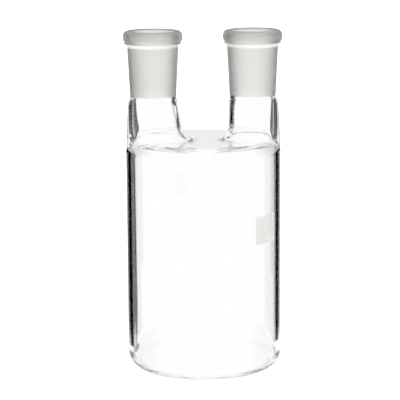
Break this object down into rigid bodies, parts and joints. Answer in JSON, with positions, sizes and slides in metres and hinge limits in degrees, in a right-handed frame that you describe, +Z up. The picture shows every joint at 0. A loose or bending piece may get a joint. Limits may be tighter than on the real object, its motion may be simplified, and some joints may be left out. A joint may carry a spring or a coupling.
{
  "type": "two-neck flat-bottomed glass bottle",
  "caption": "Clear cylindrical laboratory bottle with a flat base, a flat shoulder, upright necks with ground taper sockets, and a small matt marking patch.",
  "frame": {"origin": "centre of the base's resting face, where the vessel stands on the bench", "axes": "+Z up along the body's axis; +X through both neck axes, from the left neck to the right neck; -Y is the front, with the marking patch between the front and +X"},
  "size_m": [0.1022, 0.1, 0.22],
  "materials": {
    "clear_glass": "clear fire-polished borosilicate glass with a faint draw waviness",
    "ground_glass": "frosted, ground on the inside of the socket, translucent white-grey",
    "matt_enamel": "thin matt off-white fired marking patch, slightly uneven"
  },
  "bodies": {
    "root": {"base": "clear_glass", "body_wall": "clear_glass", "shoulder": "clear_glass", "neck_tube_left": "clear_glass", "neck_tube_right": "clear_glass", "ground_socket_left": "ground_glass", "ground_socket_right": "ground_glass", "marking_patch": "matt_enamel"}
  },
  "joints": []
}
